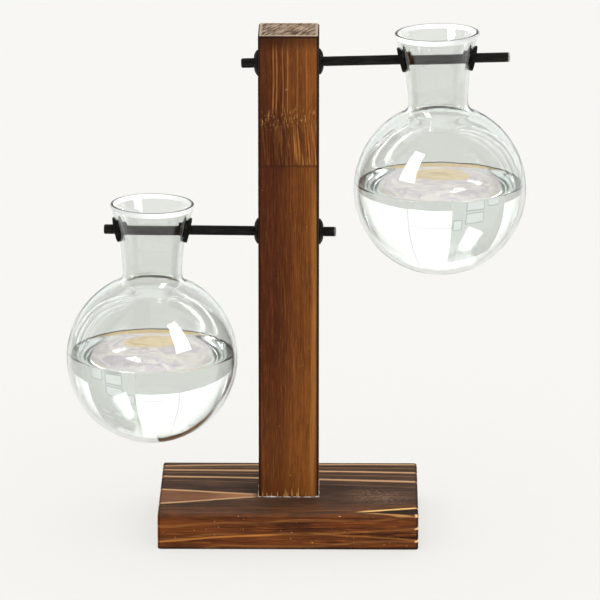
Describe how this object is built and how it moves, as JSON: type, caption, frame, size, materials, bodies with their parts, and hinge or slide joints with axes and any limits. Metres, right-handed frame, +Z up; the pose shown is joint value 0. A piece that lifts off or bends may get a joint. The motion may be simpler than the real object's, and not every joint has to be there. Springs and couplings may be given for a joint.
{
  "type": "hanging bulb vase stand",
  "caption": "Table stand for cut stems and water plants: a wooden post on a base board holds black rods, and a round-bottomed glass vase with a flared neck hangs on each.",
  "frame": {"origin": "middle of the base board's underside, on the post's axis", "axes": "+X towards the upper vase's side, along the rods; -Y to the front; +Z up the post"},
  "size_m": [0.214, 0.084, 0.238],
  "materials": {
    "charred_base_wood": "satin",
    "stained_post_wood": "satin",
    "glue": "satin",
    "screw_steel": "satin",
    "black_rubber": "matte",
    "black_rod": "satin",
    "clear_glass": "gloss",
    "water": "gloss"
  },
  "bodies": {
    "stand": {"base_board": "charred_base_wood", "post": "stained_post_wood", "foot_glue_bead": "glue", "base_screw_left": "screw_steel", "base_screw_right": "screw_steel", "upper_post_grommet_left": "black_rubber", "upper_post_grommet_right": "black_rubber", "lower_post_grommet_left": "black_rubber", "lower_post_grommet_right": "black_rubber"},
    "upper_rod": {"upper_rod": "black_rod"},
    "upper_vase": {"upper_vase": "clear_glass", "upper_vase_grommet_left": "black_rubber", "upper_vase_grommet_right": "black_rubber"},
    "upper_water": {"upper_water": "water"},
    "lower_rod": {"lower_rod": "black_rod"},
    "lower_vase": {"lower_vase": "clear_glass", "lower_vase_grommet_left": "black_rubber", "lower_vase_grommet_right": "black_rubber"},
    "lower_water": {"lower_water": "water"}
  },
  "joints": [
    {"name": "upper_rod_slide", "type": "slide", "parent": "stand", "child": "upper_rod", "axis": [0.9997, 0, 0.0253], "range_m": [-0.006, 0.0055]},
    {"name": "upper_vase_swing", "type": "hinge", "parent": "upper_rod", "child": "upper_vase", "pos_m": [0.06848, 0, 0.22423], "axis": [0.9997, 0, 0.0253], "range_deg": [-60, 60]},
    {"name": "upper_water_level", "type": "hinge", "parent": "upper_vase", "child": "upper_water", "pos_m": [0.07004, 0, 0.16255], "axis": [0.9997, 0, 0.0253], "range_deg": [-60, 60]},
    {"name": "lower_rod_slide", "type": "slide", "parent": "stand", "child": "lower_rod", "axis": [1, 0, -0.0087], "range_m": [-0.0055, 0.0055]},
    {"name": "lower_vase_swing", "type": "hinge", "parent": "lower_rod", "child": "lower_vase", "pos_m": [-0.0635, 0, 0.14255], "axis": [1, 0, -0.0087], "range_deg": [-60, 60]},
    {"name": "lower_water_level", "type": "hinge", "parent": "lower_vase", "child": "lower_water", "pos_m": [-0.06404, 0, 0.08086], "axis": [1, 0, -0.0087], "range_deg": [-60, 60]}
  ],
  "couplings": [
    {"joint": "upper_water_level", "follows": "upper_vase_swing", "ratio": -1},
    {"joint": "lower_water_level", "follows": "lower_vase_swing", "ratio": -1}
  ]
}
